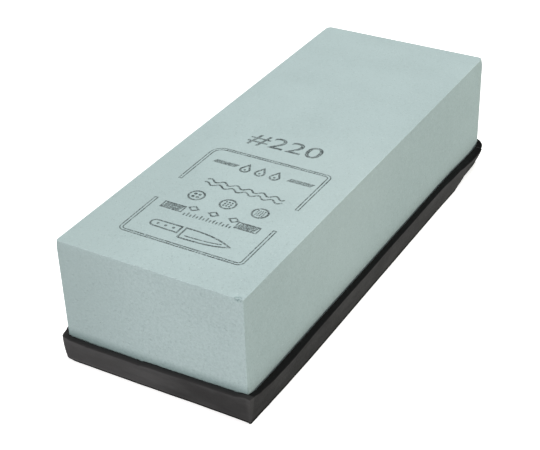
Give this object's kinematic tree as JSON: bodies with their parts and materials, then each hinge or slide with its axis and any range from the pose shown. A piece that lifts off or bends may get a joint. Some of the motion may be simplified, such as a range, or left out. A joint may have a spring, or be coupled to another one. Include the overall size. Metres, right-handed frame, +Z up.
{
  "type": "bench whetstone",
  "caption": "Thick rectangular abrasive block with a flat sharpening face, standing in a close-fitting low rubber tray with thin flared walls, from which it lifts out.",
  "frame": {"origin": "middle of the tray's underside, on the surface that the whetstone stands on", "axes": "+X across the width, +Y along the length, +Z up, out of the sharpening face"},
  "size_m": [0.0836, 0.2126, 0.053],
  "materials": {
    "abrasive_stone": "fine open grain, matt, pale grey-green",
    "tray_rubber": "smooth moulded black rubber, slight sheen"
  },
  "bodies": {
    "tray": {"rubber_tray": "tray_rubber"},
    "stone": {"sharpening_stone": "abrasive_stone"}
  },
  "joints": [
    {"name": "stone_lift", "type": "slide", "parent": "tray", "child": "stone", "axis": [0, 0, 1], "range_m": [0, 0.03]}
  ]
}
